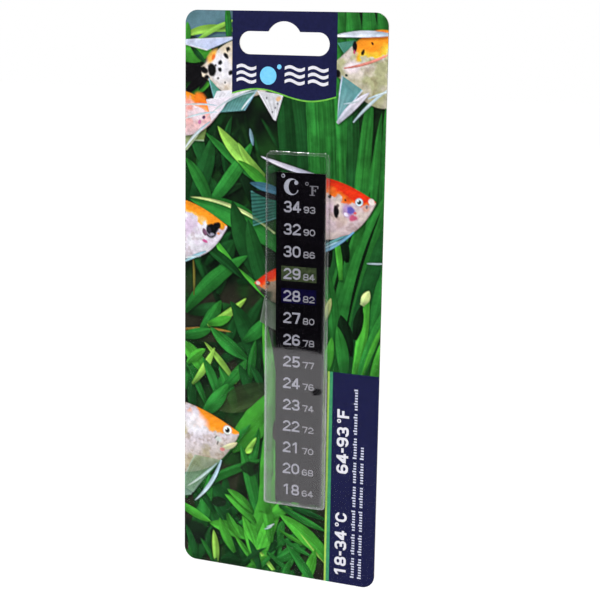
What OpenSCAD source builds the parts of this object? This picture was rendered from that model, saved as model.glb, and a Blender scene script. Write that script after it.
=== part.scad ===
// Carded aquarium thermometer: a liquid-crystal strip, loose in a clear blister
// that is sealed on a printed hang card. The card stands in the XZ plane, its
// front faces -Y, and the origin is the centre of the hang slot's dome on the
// card's back face. "Level" means a distance in front of the card's back face.

/* [Card] */
// Width of the card
card_w = 73; // [66:1:90]
// Height of the card
card_h = 195; // [190:1:230]
// Thickness of the board
card_t = 0.45; // [0.3:0.05:1]
// Radius of the card's corners
card_r = 4.5; // [2:0.5:8]

/* [Hang slot] */
// Width of the slot, end to end
slot_w = 32.5; // [28:0.5:34]
// Height of the slot
slot_h = 7.6; // [6:0.1:9]
// Radius of the dome over the slot
dome_r = 6.5; // [5:0.1:7]
// How far the dome's centre is above the slot's middle
dome_rise = 0.7; // [0:0.1:1.5]
// From the card's top edge down to the dome's centre
slot_drop = 9.8; // [9:0.1:12]

/* [Printed panels] */
// Width of the header panel
header_w = 37.8; // [36:0.1:42]
// Mean height of the header panel
header_h = 27.2; // [26:0.1:32]
// Rise and fall of the header's wavy lower edge
wave_amp = 1.75; // [0:0.05:2]
// Length of one wave
wave_length = 38; // [30:1:60]
// Where the wave is lowest, from the card's middle
wave_low_x = 9.5; // [0:0.5:15]
// Thickness of the line along the wave
wave_line = 0.5; // [0.3:0.1:1]
// Width of the side panel
panel_w = 16.7; // [15.5:0.1:17]
// From the card's top edge down to the side panel
panel_top = 119.9; // [112:0.1:125]
// Width of the light line along the side panel
light_line_w = 0.7; // [0.4:0.1:1]
// Width of the teal line along the side panel
teal_line_w = 1.2; // [0.6:0.1:1.5]

/* [Lettering] */
// Height of the temperature range's figures on the side panel
title_h = 4.3; // [3:0.1:5]
// From the card's right edge to the foot of those figures
title_foot = 10.5; // [9:0.1:11]
// From the card's lower edge up to the first figure
title_start = 2.8; // [2:0.1:6]
// Height of a note line's bars
note_h = 1; // [0.6:0.1:1.4]

/* [Blister] */
// Thickness of the clear film
film_t = 0.25; // [0.15:0.05:0.25]
// Width of the pocket outside
pocket_w = 22.2; // [22.2:0.1:22.8]
// Height of the pocket outside
pocket_h = 122.5; // [122.4:0.1:126]
// Depth of the pocket from the back of the film
pocket_d = 2.55; // [1.8:0.05:5]
// Radius of the pocket's corners
pocket_r = 1.2; // [1:0.1:1.3]
// Radius of the pocket's front edges
edge_r = 0.5; // [0.35:0.05:0.7]
// How far each wall leans in
wall_draft = 0.12; // [0:0.02:0.15]
// The pocket's middle, to the right of the card's middle
pocket_x = 6.2; // [6.1:0.05:6.25]
// From the card's top edge down to the pocket
pocket_top = 46.5; // [45:0.1:46.5]
// How far the pocket is sealed out of square, in degrees: its foot goes right
pocket_lean = 0.3; // [0:0.05:0.3]

/* [Thermometer strip] */
// Width of the strip
strip_w = 18; // [17:0.1:18]
// Length of the strip
strip_h = 115; // [112:0.5:115]
// The strip's middle, to the right of the card's middle
strip_x = 7.55; // [7:0.05:7.55]
// From the card's top edge down to the strip
strip_top = 53; // [52.6:0.1:53]
// How far the loose strip leans in its pocket, in degrees: its foot goes right
strip_lean = 0.6; // [0.2:0.05:0.6]
// Thickness of the clear face film
face_t = 0.1; // [0.05:0.01:0.15]
// Thickness of the crystal layer
crystal_t = 0.05; // [0.03:0.01:0.1]
// Thickness of the black backing film
backing_t = 0.1; // [0.05:0.01:0.2]
// Thickness of the adhesive
adhesive_t = 0.05; // [0.03:0.01:0.1]
// Thickness of the release liner
liner_t = 0.1; // [0.05:0.01:0.15]

/* [Scale] */
// Distance between rows
row_pitch = 7.615; // [7.2:0.005:7.615]
// From the strip's top edge down to the first row
first_row = 11.5; // [11:0.1:11.5]
// Height of the Celsius figures
celsius_h = 3.85; // [3:0.05:4.2]
// Height of the Fahrenheit figures
fahrenheit_h = 2.25; // [1.8:0.05:2.6]
// Width of one crystal cell
cell_w = 12.9; // [12.7:0.1:14]
// Height of one crystal cell
cell_h = 5.1; // [4.5:0.1:6]
// From the strip's left edge to the cells
cell_x = 2; // [1:0.05:2]

/* [Hidden] */
$fn = 48;
celsius = [34, 32, 30, 29, 28, 27, 26, 25, 24, 23, 22, 21, 20, 18];
fahrenheit = [93, 90, 86, 84, 82, 80, 78, 77, 76, 74, 72, 70, 68, 64];

ink_t = 0.04;
mark_t = 0.03;
top_z = slot_drop;
right_x = card_w / 2;

// Levels of the card's layers, from the back
scene_level = card_t;
panel_level = scene_level + ink_t;
letter_level = panel_level + mark_t;
film_level = letter_level + mark_t;

// Levels of the strip's layers, from the back
liner_level = film_level;
adhesive_level = liner_level + liner_t;
backing_level = adhesive_level + adhesive_t;
crystal_level = backing_level + backing_t;
mark_level = crystal_level + crystal_t;
face_level = mark_level + mark_t;

strip_mid_z = top_z - strip_top - strip_h / 2;
panel_left = right_x - panel_w;
panel_z = top_z - panel_top;
card_foot = top_z - card_h;

// Figures: each one's width and stroke, and the gap between two, as shares of the height
figure_w = 0.77;
wide_figure_w = 0.9;
figure_gap = 0.09;
stroke = 0.165;
bold_stroke = 0.2;
title_step = 8.6;

CELLS = [for (c = celsius) str("crystal_", c)];

// ---- helpers ----

// A flat piece drawn in X and Z, t thick, whose back is at the given level
module sheet(level, t) {
    translate([0, -level, 0])
        rotate([90, 0, 0])
            linear_extrude(t) children();
}

module rounded_rect(w, h, r) {
    translate([r, 0]) square([w - 2 * r, h]);
    translate([0, r]) square([w, h - 2 * r]);
    for (x = [r, w - r], y = [r, h - r])
        translate([x, y]) circle(r);
}

module card_outline() {
    translate([-card_w / 2, card_foot]) rounded_rect(card_w, card_h, card_r);
}

// The hang slot: a straight slot with round ends, under a dome
module hang_slot() {
    translate([-slot_w / 2, -dome_rise - slot_h / 2])
        rounded_rect(slot_w, slot_h, slot_h / 2 - 0.01);
    intersection() {
        circle(dome_r);
        translate([-dome_r, -dome_rise]) square([2 * dome_r, 2 * dome_r]);
    }
}

module whole_card() {
    difference() {
        card_outline();
        hang_slot();
    }
}

// Height of the header's lower edge at x
function wave_z(x) =
    top_z - header_h - wave_amp * cos(360 * (x - wave_low_x) / wave_length);

// A band that follows the header's lower edge, from lift above it to drop below
module wave_band(lift, drop) {
    steps = 36;
    xs = [for (i = [0:steps]) header_w * (i / steps - 0.5)];
    polygon(concat(
        [for (x = xs) [x, wave_z(x) + lift]],
        [for (i = [steps:-1:0]) [xs[i], wave_z(xs[i]) - drop]]));
}

// ---- figures: each is drawn h high, with its lower left corner at the origin ----

module loop(w, h, s) {
    r = min(w, h) / 2 - 0.001;
    difference() {
        rounded_rect(w, h, r);
        translate([s, s]) rounded_rect(w - 2 * s, h - 2 * s, r - s);
    }
}

module box2(x0, y0, x1, y1) {
    translate([x0, y0]) square([x1 - x0, y1 - y0]);
}

module figure_8(w, h, s) {
    loop(w, 0.56 * h, s);
    translate([0.04 * w, 0.56 * h - s]) loop(0.92 * w, 0.44 * h + s, s);
}

module figure_3(w, h, s) {
    difference() {
        figure_8(w, h, s);
        box2(-1, 0.27 * h, 0.36 * w, 0.74 * h);
    }
}

module figure_0(w, h, s) {
    loop(w, h, s);
}

module figure_6(w, h, s) {
    difference() {
        loop(w, h, s);
        box2(w / 2, 0.3 * h, w + 1, 0.74 * h);
    }
    loop(w, 0.62 * h, s);
}

module figure_9(w, h, s) {
    translate([w, h]) rotate(180) figure_6(w, h, s);
}

module figure_1(w, h, s) {
    box2(0.46 * w, 0, 0.46 * w + s, h);
    polygon([[0.46 * w, h], [0.14 * w, 0.82 * h], [0.14 * w, 0.82 * h - s],
        [0.46 * w, h - 1.2 * s]]);
}

module figure_2(w, h, s) {
    shoulder = h - w / 2;
    difference() {
        translate([0, shoulder - w / 2]) loop(w, w, s);
        box2(-1, -1, w + 1, shoulder);
        box2(-1, -1, w / 2, shoulder + 0.08 * h);
    }
    box2(0, 0, w, s);
    polygon([[w - s, shoulder], [w, shoulder], [1.5 * s, s], [0, s]]);
}

module figure_4(w, h, s) {
    post = 0.56 * w;
    bar = 0.2 * h;
    box2(post, 0, post + s, h);
    box2(0, bar, w, bar + s);
    polygon([[0, bar], [0, bar + 1.2 * s], [post, h], [post + s, h],
        [post, h - 1.7 * s], [1.2 * s, bar]]);
}

module figure_5(w, h, s) {
    box2(0.1 * w, h - s, 0.95 * w, h);
    box2(0.1 * w, 0.4 * h, 0.1 * w + s, h);
    difference() {
        loop(w, 0.64 * h, s);
        box2(-1, 0.19 * h, 0.45 * w, 0.4 * h);
    }
}

module figure_7(w, h, s) {
    box2(0, h - s, w, h);
    polygon([[w - 1.2 * s, h - s], [w, h - s], [0.4 * w + s, 0], [0.4 * w - 0.15 * s, 0]]);
}

module letter_c(w, h, s) {
    difference() {
        loop(w, h, s);
        box2(0.6 * w, 0.34 * h, w + 1, 0.66 * h);
    }
}

module letter_f(w, h, s) {
    box2(0, 0, s, h);
    box2(0, h - s, 0.9 * w, h);
    box2(0, 0.5 * h - s / 2, 0.75 * w, 0.5 * h + s / 2);
}

module degree_ring(r, line) {
    difference() {
        circle(r);
        circle(r - line);
    }
}

module figure(n, w, h, s) {
    if (n == 0) figure_0(w, h, s);
    if (n == 1) figure_1(w, h, s);
    if (n == 2) figure_2(w, h, s);
    if (n == 3) figure_3(w, h, s);
    if (n == 4) figure_4(w, h, s);
    if (n == 5) figure_5(w, h, s);
    if (n == 6) figure_6(w, h, s);
    if (n == 7) figure_7(w, h, s);
    if (n == 8) figure_8(w, h, s);
    if (n == 9) figure_9(w, h, s);
}

// How far one figure moves the next along
function advance(h, share = figure_w) = (share + figure_gap) * h;

// A value of two figures; share is a figure's width, and line its stroke, by its height
module two_figures(value, h, share = figure_w, line = stroke) {
    figure(floor(value / 10), share * h, h, line * h);
    translate([advance(h, share), 0]) figure(value % 10, share * h, h, line * h);
}

// Lays the children on the strip at x from its left edge, and z below its top
module on_strip(x, z) {
    translate([strip_x, strip_mid_z])
        rotate(strip_lean)
            translate([x - strip_w / 2, strip_h / 2 - z]) children();
}

module strip_sheet(level, t) {
    sheet(level, t) on_strip(0, strip_h) square([strip_w, strip_h]);
}

module each_row() {
    for (i = [0:len(celsius) - 1]) {
        $row = i;
        on_strip(0, first_row + i * row_pitch) children();
    }
}

module cell_outline() {
    translate([cell_x, -cell_h / 2]) square([cell_w, cell_h]);
}

// ---- card ----

module card_board() {
    color("white") sheet(0, card_t) whole_card();
}

module scene_print() {
    color("forestgreen") sheet(scene_level, ink_t) whole_card();
}

module header_panel() {
    color("midnightblue")
        sheet(panel_level, mark_t)
            difference() {
                wave_band(header_h + 2 * wave_amp, 0);
                translate([-card_w, top_z]) square([2 * card_w, card_h]);
                hang_slot();
            }
}

module header_wave_line() {
    color("limegreen") sheet(panel_level, mark_t) wave_band(0, wave_line);
}

// A short wavy stroke, like water
module ripple(length, height, line) {
    steps = 16;
    xs = [for (i = [0:steps]) length * i / steps];
    polygon(concat(
        [for (x = xs) [x, height * sin(360 * x / length) + line / 2]],
        [for (i = [steps:-1:0]) [xs[i], height * sin(360 * xs[i] / length) - line / 2]]));
}

module emblem_waves() {
    rows = 3;
    color("white")
        sheet(letter_level, mark_t)
            for (x = [-17.2, 0.4, 8.8], i = [0:rows - 1])
                translate([x, top_z - 18.6 - 2.2 * i]) ripple(7.2, 0.55, 1.05);
}

module emblem_bubble() {
    color("skyblue")
        sheet(letter_level, mark_t) {
            translate([-5.6, top_z - 21.2]) circle(3);
            translate([-1.6, top_z - 18.2]) circle(0.8);
        }
}

module side_panel() {
    color("midnightblue")
        sheet(panel_level, mark_t)
            intersection() {
                card_outline();
                translate([panel_left, card_foot]) square([panel_w, panel_z - card_foot]);
            }
}

// A line down the side panel's left edge, gap clear of it
module panel_line(w, gap) {
    sheet(panel_level, mark_t)
        translate([panel_left - gap - w, card_foot]) square([w, panel_z - card_foot]);
}

module teal_line() {
    color("teal") panel_line(teal_line_w, 0);
}

module light_line() {
    color("yellowgreen") panel_line(light_line_w, teal_line_w);
}

// Turns a line of lettering so that it reads upwards along the side panel
module up_the_panel(foot) {
    translate([right_x - foot, card_foot + title_start]) rotate(90) children();
}

// One span of the scale, such as 18-34 and its unit
module span(low, high, h, unit) {
    step = advance(h);
    line = bold_stroke * h;
    two_figures(low, h, figure_w, bold_stroke);
    translate([2 * step, 0.4 * h]) square([0.36 * h, line]);
    translate([2 * step + 0.47 * h, 0]) two_figures(high, h, figure_w, bold_stroke);
    translate([4 * step + 0.85 * h, 0.84 * h]) degree_ring(0.17 * h, 0.1 * h);
    translate([4 * step + 1.12 * h, 0])
        if (unit == "C") letter_c(figure_w * h, h, line);
        else letter_f(figure_w * h, h, line);
}

module range_lettering() {
    rows = len(celsius);
    color("white")
        sheet(letter_level, mark_t)
            up_the_panel(title_foot) {
                span(celsius[rows - 1], celsius[0], title_h, "C");
                translate([title_step * title_h, 0])
                    span(fahrenheit[rows - 1], fahrenheit[0], title_h, "F");
            }
}

// A line of short upright bars, in groups, that stands for small print
module note_line(foot, length) {
    pitch = 0.95;
    sheet(letter_level, mark_t)
        up_the_panel(foot)
            for (i = [0:floor(length / pitch) - 1])
                if (i % 9 != 8)
                    translate([pitch * i, 0])
                        square([0.55 * pitch, (i * 7 % 5 == 0 ? 1.35 : 1) * note_h]);
}

module note_line_long() {
    color("lightgrey") note_line(7.5, 68);
}

module note_line_short() {
    color("lightgrey") note_line(4.9, 48);
}

// ---- blister: one formed film, in two nodes that meet at the pocket's foot ----

pocket_z = top_z - pocket_top - pocket_h / 2;

// The pocket's form, set in by inset from its outside. Its walls rise straight
// through the flange, then lean in
module pocket_form(inset, back) {
    r = pocket_r - inset;
    e = max(edge_r - inset, 0.12);
    front = film_level + pocket_d - inset;
    half_w = pocket_w / 2 - pocket_r;
    half_h = pocket_h / 2 - pocket_r;
    translate([pocket_x, 0, pocket_z])
        rotate([90, 0, 0])
            rotate(pocket_lean)
                hull()
                    for (x = [-1, 1], z = [-1, 1]) {
                        translate([x * half_w, z * half_h, back])
                            cylinder(r = r, h = film_level + film_t - back, $fn = 32);
                        translate([x * (half_w - wall_draft), z * (half_h - wall_draft), front - e])
                            rotate_extrude($fn = 32)
                                translate([r - e, 0]) circle(e, $fn = 20);
                    }
}

module blister_flange() {
    color("lightcyan", 0.3)
        difference() {
            sheet(film_level, film_t) whole_card();
            pocket_form(0, film_level - 0.1);
        }
}

module blister_pocket() {
    color("lightcyan", 0.3)
        difference() {
            pocket_form(0, film_level);
            pocket_form(film_t, film_level - 0.1);
        }
}

// ---- thermometer strip ----

module face_film() {
    color("gainsboro", 0.3) strip_sheet(face_level, face_t);
}

// A serif C of radius r: its left side is heavy, and its upper end is a ball
module serif_c(r) {
    difference() {
        translate([r, r]) circle(r);
        translate([1.22 * r, r]) scale([0.72, 1]) circle(0.86 * r);
        box2(1.3 * r, 0.66 * r, 3 * r, 1.4 * r);
        box2(1.86 * r, 0, 3 * r, 3 * r);
    }
    translate([1.6 * r, 1.5 * r]) circle(0.25 * r);
}

// A serif F of height h: thin bars on a heavier stem
module serif_f(h) {
    bar = 0.09 * h;
    stem = 0.2 * h;
    box2(stem, 0, 2 * stem, h);
    box2(0, 0, 0.58 * h, bar);
    box2(0, h - bar, 0.94 * h, h);
    box2(stem, 0.48 * h, 0.68 * h, 0.48 * h + bar);
    box2(0.94 * h - bar, 0.7 * h, 0.94 * h, h);
    box2(0.68 * h - bar, 0.38 * h, 0.68 * h, 0.66 * h);
}

module unit_marks() {
    color("lightsteelblue")
        sheet(mark_level, mark_t) {
            on_strip(2.55, 1.15) degree_ring(0.68, 0.3);
            on_strip(2.85, 7.55) serif_c(2.8);
            on_strip(11.2, 3.5) degree_ring(0.62, 0.28);
            on_strip(12.2, 7.4) serif_f(3.3);
        }
}

module celsius_figures() {
    color("lightsteelblue")
        sheet(mark_level, mark_t)
            each_row() translate([2.8, -celsius_h / 2]) two_figures(celsius[$row], celsius_h);
}

module fahrenheit_figures() {
    color("silver")
        sheet(mark_level, mark_t)
            each_row()
                translate([10.05, -celsius_h / 2])
                    two_figures(fahrenheit[$row], fahrenheit_h, wide_figure_w);
}

module black_mask() {
    color("black")
        sheet(crystal_level, crystal_t)
            difference() {
                on_strip(0, strip_h) square([strip_w, strip_h]);
                each_row() cell_outline();
            }
}

// The cell of one row; the cells near the room's temperature show a colour
module crystal_cell(row) {
    shade = celsius[row] == 29 ? "darkolivegreen" : celsius[row] == 28 ? "midnightblue" : "black";
    color(shade)
        sheet(crystal_level, crystal_t)
            on_strip(0, first_row + row * row_pitch) cell_outline();
}

module black_backing() {
    color("black") strip_sheet(backing_level, backing_t);
}

module adhesive_layer() {
    color("wheat") strip_sheet(adhesive_level, adhesive_t);
}

module release_liner() {
    color("whitesmoke") strip_sheet(liner_level, liner_t);
}

card_board();
scene_print();
header_panel();
header_wave_line();
emblem_waves();
emblem_bubble();
side_panel();
light_line();
teal_line();
range_lettering();
note_line_long();
note_line_short();
blister_flange();
blister_pocket();
face_film();
unit_marks();
celsius_figures();
fahrenheit_figures();
black_mask();
black_backing();
adhesive_layer();
release_liner();
for (row = [0:len(celsius) - 1])
    crystal_cell(row);
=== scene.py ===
"""Looks for a carded aquarium strip thermometer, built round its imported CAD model.

The card, the blister and the strip are the CAD nodes with procedural materials.
The card's printed picture, water plants and fish, is painted here shape by shape
onto a fine grid of coloured points, in the thin space between the card's ink and
the blister's flange.
"""

import math
import random

import bpy
import numpy as np
from mathutils import Matrix, Vector


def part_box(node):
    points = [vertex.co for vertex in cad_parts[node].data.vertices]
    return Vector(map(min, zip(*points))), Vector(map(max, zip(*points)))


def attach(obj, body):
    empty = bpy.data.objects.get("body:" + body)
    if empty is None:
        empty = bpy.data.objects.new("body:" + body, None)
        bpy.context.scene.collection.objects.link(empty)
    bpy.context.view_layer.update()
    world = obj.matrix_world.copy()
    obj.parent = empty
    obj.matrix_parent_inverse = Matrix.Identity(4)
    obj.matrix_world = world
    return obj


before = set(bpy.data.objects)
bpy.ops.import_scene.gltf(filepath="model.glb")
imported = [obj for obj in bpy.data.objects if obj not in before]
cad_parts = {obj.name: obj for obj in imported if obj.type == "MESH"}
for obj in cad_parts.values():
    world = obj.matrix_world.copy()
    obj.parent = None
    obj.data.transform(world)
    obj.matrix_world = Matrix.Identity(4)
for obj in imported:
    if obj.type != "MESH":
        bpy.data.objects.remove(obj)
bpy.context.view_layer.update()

MM = 0.001
CARD_LOW, CARD_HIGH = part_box("card_board")
CARD_W = (CARD_HIGH.x - CARD_LOW.x) / MM
CARD_H = (CARD_HIGH.z - CARD_LOW.z) / MM
CORNER_R = 4.5
INK_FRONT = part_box("scene_print")[0].y


# ---- camera: to the right of the card's front and a little above its middle ----

AIM = Vector((0.0070, 0.0, (CARD_LOW.z + CARD_HIGH.z) / 2 + 0.0012))
CAMERA_AZIMUTH = 22.7
CAMERA_RISE = 10.83
CAMERA_DISTANCE = 0.5069
CAMERA_ROLL = 0.94
CAMERA_LENS = 89.5


def make_camera():
    azimuth, rise = math.radians(CAMERA_AZIMUTH), math.radians(CAMERA_RISE)
    back = Vector((
        math.sin(azimuth) * math.cos(rise),
        -math.cos(azimuth) * math.cos(rise),
        math.sin(rise),
    ))
    data = bpy.data.cameras.new("camera")
    data.lens = CAMERA_LENS
    data.clip_start, data.clip_end = 0.01, 20
    camera = bpy.data.objects.new("camera", data)
    camera.rotation_mode = "QUATERNION"
    roll = Matrix.Rotation(math.radians(CAMERA_ROLL), 4, "Z")
    turn = (-back).to_track_quat("-Z", "Y").to_matrix().to_4x4() @ roll
    camera.rotation_quaternion = turn.to_quaternion()
    camera.location = AIM + back * CAMERA_DISTANCE
    bpy.context.scene.collection.objects.link(camera)
    bpy.context.scene.camera = camera


make_camera()


# ---- materials ----

INK_GLOSS = 0.05
FILM_WAVE = 0.6 * MM
MIRROR_LIMIT = 0.15
# where, how big and how turned the oval is in which the pocket film's mirror share is lowered: a
# painted dark spot in its reflection
DARK_REFLECTION_AT = (0.0150, 0, -0.1172)
DARK_REFLECTION_SIZE = (0.0022, 0.05, 0.0014)
DARK_REFLECTION_TURN = math.radians(-14)
CLOUDY_BELOW, THIN_ABOVE = -0.105, -0.085
THIN_CLOUD = 0.22


def srgb(red, green, blue):
    """A linear colour from 0-255 display values."""
    def linear(value):
        v = value / 255
        return v / 12.92 if v <= 0.04045 else ((v + 0.055) / 1.055) ** 2.4
    return (linear(red), linear(green), linear(blue), 1.0)


def new_tree(name):
    material = bpy.data.materials.new(name)
    material.use_nodes = True
    material.node_tree.nodes.clear()
    return material, material.node_tree


def add(tree, kind, inputs=None, **settings):
    """Adds a shader node; an input is a constant, or another node's output."""
    made = tree.nodes.new("ShaderNode" + kind)
    for key, value in settings.items():
        setattr(made, key, value)
    for key, value in (inputs or {}).items():
        if isinstance(value, bpy.types.NodeSocket):
            tree.links.new(value, made.inputs[key])
        else:
            made.inputs[key].default_value = value
    return made


def mix_colour(tree, factor, first, second, how="MIX"):
    """The output of a colour mix; factor, first and second are values or outputs."""
    colour_sockets = {0: factor, 6: first, 7: second}
    return add(tree, "Mix", colour_sockets, data_type="RGBA", blend_type=how).outputs[2]


def maths(tree, operation, first, second):
    """The output of one operation on two values or outputs."""
    return add(tree, "Math", {0: first, 1: second}, operation=operation).outputs[0]


def place(tree):
    """The X, Y and Z outputs of the place on the object, in metres."""
    coords = add(tree, "TexCoord")
    return add(tree, "SeparateXYZ", {"Vector": coords.outputs["Object"]}).outputs


def grain(tree, scale, detail=3.0, stretch=(1, 1, 1), distortion=0.0):
    """A noise value in the object's own metres, with so many cells to a metre."""
    coords = add(tree, "TexCoord")
    mapping = add(tree, "Mapping", {"Vector": coords.outputs["Object"], "Scale": stretch})
    noise = add(tree, "TexNoise", {
        "Vector": mapping.outputs[0], "Scale": scale, "Detail": detail, "Distortion": distortion})
    return noise.outputs["Fac"]


def spread(tree, value, low, high, start=0.3, end=0.7):
    """Maps a value from start and end to low and high."""
    made = add(tree, "MapRange", {
        "Value": value, "From Min": start, "From Max": end, "To Min": low, "To Max": high})
    return made.outputs[0]


def finish_surface(tree, colour, roughness, bump=None, bump_depth=1e-5, bump_strength=0.3, **fixed):
    """A Principled surface; fixed are constants on its own sockets."""
    inputs = {"Base Color": colour, "Roughness": roughness}
    if bump is not None:
        inputs["Normal"] = add(tree, "Bump", {
            "Height": bump, "Distance": bump_depth, "Strength": bump_strength}).outputs[0]
    inputs.update({key.replace("_", " "): value for key, value in fixed.items()})
    shader = add(tree, "BsdfPrincipled", inputs)
    add(tree, "OutputMaterial", {"Surface": shader.outputs[0]})


def ink(name, colour, second):
    """Varnished ink: two close shades, as display values, mottled over the board's tooth."""
    material, tree = new_tree(name)
    mottle = spread(tree, grain(tree, 900), 0, 1)
    tooth = grain(tree, 3500, 2)
    shade = mix_colour(tree, mottle, srgb(*colour), srgb(*second))
    finish_surface(tree, shade, spread(tree, tooth, 0.26, 0.4), tooth, 4e-6, 0.25,
                   Specular_IOR_Level=INK_GLOSS)
    return material


def picture_ink():
    """Picture ink: the mesh's own Ink colours, with a press's fine grain over them."""
    material, tree = new_tree("picture_ink")
    inks = add(tree, "Attribute", attribute_name="Ink").outputs["Color"]
    dots = spread(tree, grain(tree, 2600, 2), 0.94, 1.06)
    dots = add(tree, "CombineColor", {"Red": dots, "Green": dots, "Blue": dots}).outputs[0]
    shade = mix_colour(tree, 1.0, inks, dots, "MULTIPLY")
    finish_surface(tree, shade, spread(tree, grain(tree, 1500), 0.3, 0.42),
                   Specular_IOR_Level=INK_GLOSS)
    return material


def deep_water():
    """The picture's ground: near-black green water with dim blades, bluer at the top left."""
    material, tree = new_tree("deep_water")
    streaks = grain(tree, 260, 4, stretch=(2.6, 1, 0.55), distortion=1.4)
    dim_blades = spread(tree, streaks, 0, 1, 0.36, 0.66)
    green = mix_colour(tree, dim_blades, srgb(9, 18, 11), srgb(24, 60, 22))
    where = place(tree)
    left = spread(tree, where["X"], 1, 0, CARD_LOW.x + 14 * MM, CARD_LOW.x + 21 * MM)
    top = spread(tree, where["Z"], 0, 1, CARD_HIGH.z - 22 * MM, CARD_HIGH.z - 9 * MM)
    corner = maths(tree, "MULTIPLY", left, top)
    blue = mix_colour(tree, streaks, srgb(40, 92, 112), srgb(84, 128, 150))
    shade = mix_colour(tree, corner, green, blue)
    finish_surface(tree, shade, spread(tree, grain(tree, 1500), 0.3, 0.42),
                   Specular_IOR_Level=0.12)
    return material


def paperboard():
    """White coated board: faint fibres, and a little grey in their hollows, which is painted shade.
    """
    material, tree = new_tree("paperboard")
    fibres_and_hollow_shade = grain(tree, 1400, 5, stretch=(1, 3, 0.4), distortion=0.8)
    clouds = grain(tree, 45, 2)
    # the low places of the fibres, the hollows of the bump, get the greyer shade: painted shade
    shade = mix_colour(tree, spread(tree, fibres_and_hollow_shade, 0, 1), srgb(226, 223, 216), srgb(240, 238, 233))
    shade = mix_colour(tree, spread(tree, clouds, 0, 0.35), shade, srgb(229, 224, 214))
    finish_surface(tree, shade, spread(tree, fibres_and_hollow_shade, 0.55, 0.8), fibres_and_hollow_shade, 1.2e-5, 0.3,
                   Specular_IOR_Level=0.12)
    return material


def mirror_share_with_dark_spot(tree, share):
    """The mirror share of a film, lowered in a small oval by the strip's edge: a painted dark spot
    in its reflection.
    """
    oval = add(tree, "Mapping", {
        "Vector": add(tree, "TexCoord").outputs["Object"], "Location": DARK_REFLECTION_AT,
        "Rotation": (0, DARK_REFLECTION_TURN, 0), "Scale": DARK_REFLECTION_SIZE}, vector_type="TEXTURE")
    reach = add(tree, "VectorMath", {0: oval.outputs[0]}, operation="LENGTH").outputs["Value"]
    return maths(tree, "MULTIPLY", share, spread(tree, reach, 0.1, 1, 0.65, 1.1))


def film_cloud(tree, milk, veil):
    """How cloudy a film is, in upright streaks: by milk where it is seen edge on, and by veil
    beside the strip. Its upper part has only a thin share of that."""
    where = place(tree)
    strip_low, strip_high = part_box("black_mask")
    height = spread(tree, where["Z"], 1, THIN_CLOUD, CLOUDY_BELOW, THIN_ABOVE)
    left = spread(tree, where["X"], veil, 0, strip_low.x, strip_low.x + MM)
    right = spread(tree, where["X"], 0, veil, strip_high.x - MM, strip_high.x)
    facing = add(tree, "LayerWeight", {"Blend": 0.5}).outputs["Facing"]
    edge_on = spread(tree, facing, 0, milk, 0.15, 0.7)
    cloudy = maths(tree, "ADD", edge_on, maths(tree, "ADD", left, right))
    streaks = spread(tree, grain(tree, 700, 2, stretch=(2.2, 1, 0.12)), 0.5, 1.6)
    return maths(tree, "MULTIPLY", maths(tree, "MULTIPLY", cloudy, height), streaks)


def clear_film(name, ior, ripple, gloss=(0.05, 0.13), milk=0.0, veil=0.0, dark_reflection_spot=False):
    """Clear plastic: see-through, with a mirror share by Fresnel. milk and veil make it cloudy,
    and a film may have a small oval where its mirror share is lowered: a painted dark spot in its
    reflection."""
    material, tree = new_tree(name)
    waves = grain(tree, 55, 2, distortion=0.4)
    scuffs = grain(tree, 900, 4, stretch=(0.3, 1, 2.4))
    normal = add(tree, "Bump", {
        "Height": waves, "Distance": FILM_WAVE, "Strength": ripple}).outputs[0]
    share = add(tree, "Fresnel", {"IOR": ior, "Normal": normal}).outputs[0]
    share = maths(tree, "MINIMUM", share, MIRROR_LIMIT)
    # the oval of lowered mirror share is a painted dark spot in the film's reflection
    if dark_reflection_spot:
        share = mirror_share_with_dark_spot(tree, share)
    mirror = add(tree, "BsdfGlossy", {
        "Color": (1, 0.965, 1, 1), "Roughness": spread(tree, scuffs, *gloss), "Normal": normal})
    body = add(tree, "BsdfTransparent", {"Color": (0.99, 0.995, 0.995, 1)}).outputs[0]
    if milk or veil:
        white = add(tree, "BsdfDiffuse", {"Color": (0.85, 0.88, 0.88, 1)}).outputs[0]
        cloudy = film_cloud(tree, milk, veil)
        body = add(tree, "MixShader", {0: cloudy, 1: body, 2: white}).outputs[0]
    both = add(tree, "MixShader", {0: share, 1: body, 2: mirror.outputs[0]})
    add(tree, "OutputMaterial", {"Surface": both.outputs[0]})
    return material


def strip_layer(name, colour, second, cells=500, roughness=0.5, right=None):
    """A coated layer of the strip: dull, with a slight unevenness in its coat. right, if it is
    given, is the colour of what lies on the side of the Fahrenheit figures."""
    material, tree = new_tree(name)
    patches = grain(tree, cells, 4)
    shade = mix_colour(tree, spread(tree, patches, 0, 1), srgb(*colour), srgb(*second))
    if right:
        between = (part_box("celsius_figures")[1].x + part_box("fahrenheit_figures")[0].x) / 2
        side = spread(tree, place(tree)["X"], 0, 1, between - 0.2 * MM, between + 0.2 * MM)
        shade = mix_colour(tree, side, shade, srgb(*right))
    finish_surface(tree, shade, spread(tree, grain(tree, 2500), roughness - 0.06, roughness + 0.08),
                   patches, 3e-6, 0.2, Specular_IOR_Level=0.01)
    return material


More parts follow.
